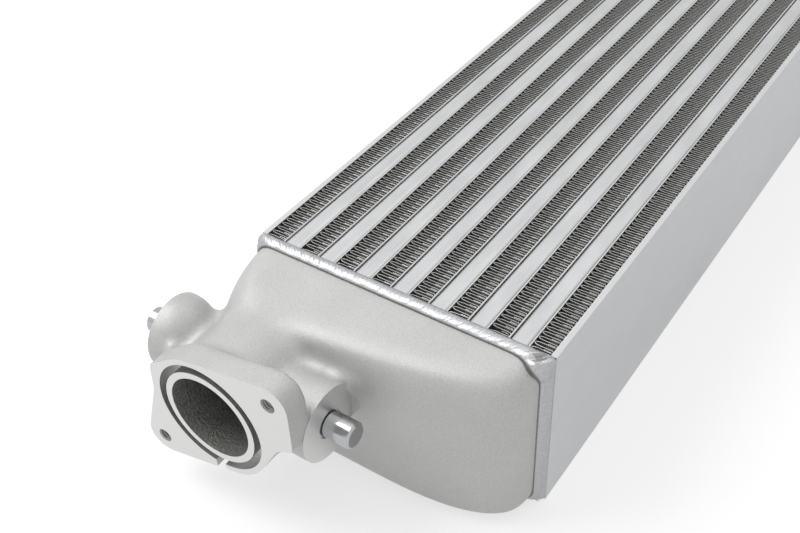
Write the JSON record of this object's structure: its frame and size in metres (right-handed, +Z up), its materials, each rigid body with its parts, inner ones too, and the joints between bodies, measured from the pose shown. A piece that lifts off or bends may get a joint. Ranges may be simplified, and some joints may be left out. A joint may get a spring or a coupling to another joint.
{
  "type": "air-to-air intercooler",
  "caption": "Bar-and-plate charge air cooler core with folded fins between bars, and a cast end tank with round flange and locating pins at each end.",
  "frame": {"origin": "centre of the core's bottom face, on the middle charge bar", "axes": "+X from the inlet tank to the outlet tank, +Y across the fin rows towards the side that the necks are nearer to, +Z up through the core's depth"},
  "size_m": [0.6782, 0.1744, 0.0959],
  "materials": {
    "cast_tank": "bead-blasted casting",
    "weld_bead": "rippled weld metal",
    "pin_steel": "ground and polished",
    "plate_aluminium": "rolled sheet",
    "sheet_aluminium": "brazed sheet",
    "bar_aluminium": "rolled bar, brazed",
    "fin_aluminium": "folded foil, brazed"
  },
  "bodies": {
    "root": {"end_tank_inlet": "cast_tank", "end_tank_outlet": "cast_tank", "tank_weld_inlet": "weld_bead", "tank_weld_outlet": "weld_bead", "locating_pin_inlet_near": "pin_steel", "locating_pin_inlet_far": "pin_steel", "locating_pin_outlet_near": "pin_steel", "locating_pin_outlet_far": "pin_steel", "side_plate_near": "plate_aluminium", "side_plate_far": "plate_aluminium", "parting_sheet_01": "sheet_aluminium", "parting_sheet_02": "sheet_aluminium", "parting_sheet_03": "sheet_aluminium", "parting_sheet_04": "sheet_aluminium", "parting_sheet_05": "sheet_aluminium", "parting_sheet_06": "sheet_aluminium", "parting_sheet_07": "sheet_aluminium", "parting_sheet_08": "sheet_aluminium", "parting_sheet_09": "sheet_aluminium", "parting_sheet_10": "sheet_aluminium", "parting_sheet_11": "sheet_aluminium", "parting_sheet_12": "sheet_aluminium", "parting_sheet_13": "sheet_aluminium", "parting_sheet_14": "sheet_aluminium", "parting_sheet_15": "sheet_aluminium", "parting_sheet_16": "sheet_aluminium", "charge_bar_top_1": "bar_aluminium", "charge_bar_bottom_1": "bar_aluminium", "charge_bar_top_2": "bar_aluminium", "charge_bar_bottom_2": "bar_aluminium", "charge_bar_top_3": "bar_aluminium", "charge_bar_bottom_3": "bar_aluminium", "charge_bar_top_4": "bar_aluminium", "charge_bar_bottom_4": "bar_aluminium", "charge_bar_top_5": "bar_aluminium", "charge_bar_bottom_5": "bar_aluminium", "charge_bar_top_6": "bar_aluminium", "charge_bar_bottom_6": "bar_aluminium", "charge_bar_top_7": "bar_aluminium", "charge_bar_bottom_7": "bar_aluminium", "cooling_fin_1": "fin_aluminium", "cooling_fin_2": "fin_aluminium", "cooling_fin_3": "fin_aluminium", "cooling_fin_4": "fin_aluminium", "cooling_fin_5": "fin_aluminium", "cooling_fin_6": "fin_aluminium", "cooling_fin_7": "fin_aluminium", "cooling_fin_8": "fin_aluminium", "turbulator_1": "fin_aluminium", "turbulator_2": "fin_aluminium", "turbulator_3": "fin_aluminium", "turbulator_4": "fin_aluminium", "turbulator_5": "fin_aluminium", "turbulator_6": "fin_aluminium", "turbulator_7": "fin_aluminium", "end_bars_inlet": "bar_aluminium", "end_bars_outlet": "bar_aluminium"}
  },
  "joints": []
}
